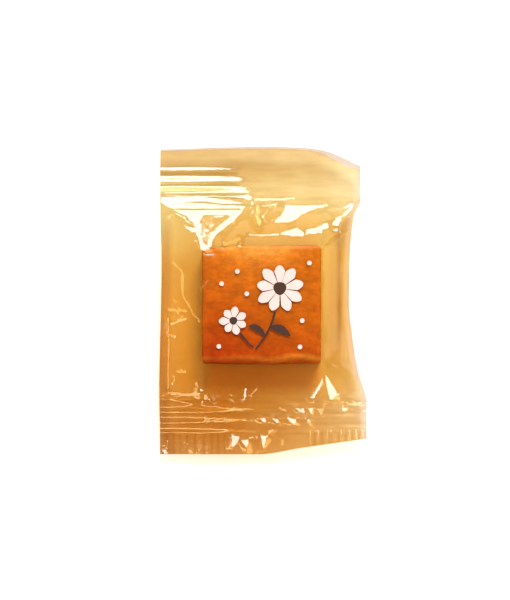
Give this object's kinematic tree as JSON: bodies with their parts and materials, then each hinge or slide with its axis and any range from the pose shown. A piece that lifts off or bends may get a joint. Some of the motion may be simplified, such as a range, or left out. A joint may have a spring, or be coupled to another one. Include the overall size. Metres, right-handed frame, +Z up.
{
  "type": "wrapped caramel candy",
  "caption": "Soft square caramel sealed in a clear amber film pack with crimped, ribbed ends, lying on its back.",
  "frame": {"origin": "middle of the pack's footprint, on the surface that it lies on", "axes": "+Z up out of the shown side, +Y along the pack towards the seal with the drooping corner, +X to the right seen from above"},
  "size_m": [0.0374, 0.0556, 0.0103],
  "materials": {
    "amber_film": "glossy clear amber film with creases",
    "caramel": "soft satin sugar with fine pull marks",
    "cream_ink": "opaque printed ink",
    "brown_ink": "opaque printed ink"
  },
  "bodies": {
    "root": {"film_pack": "amber_film"}
  },
  "joints": []
}
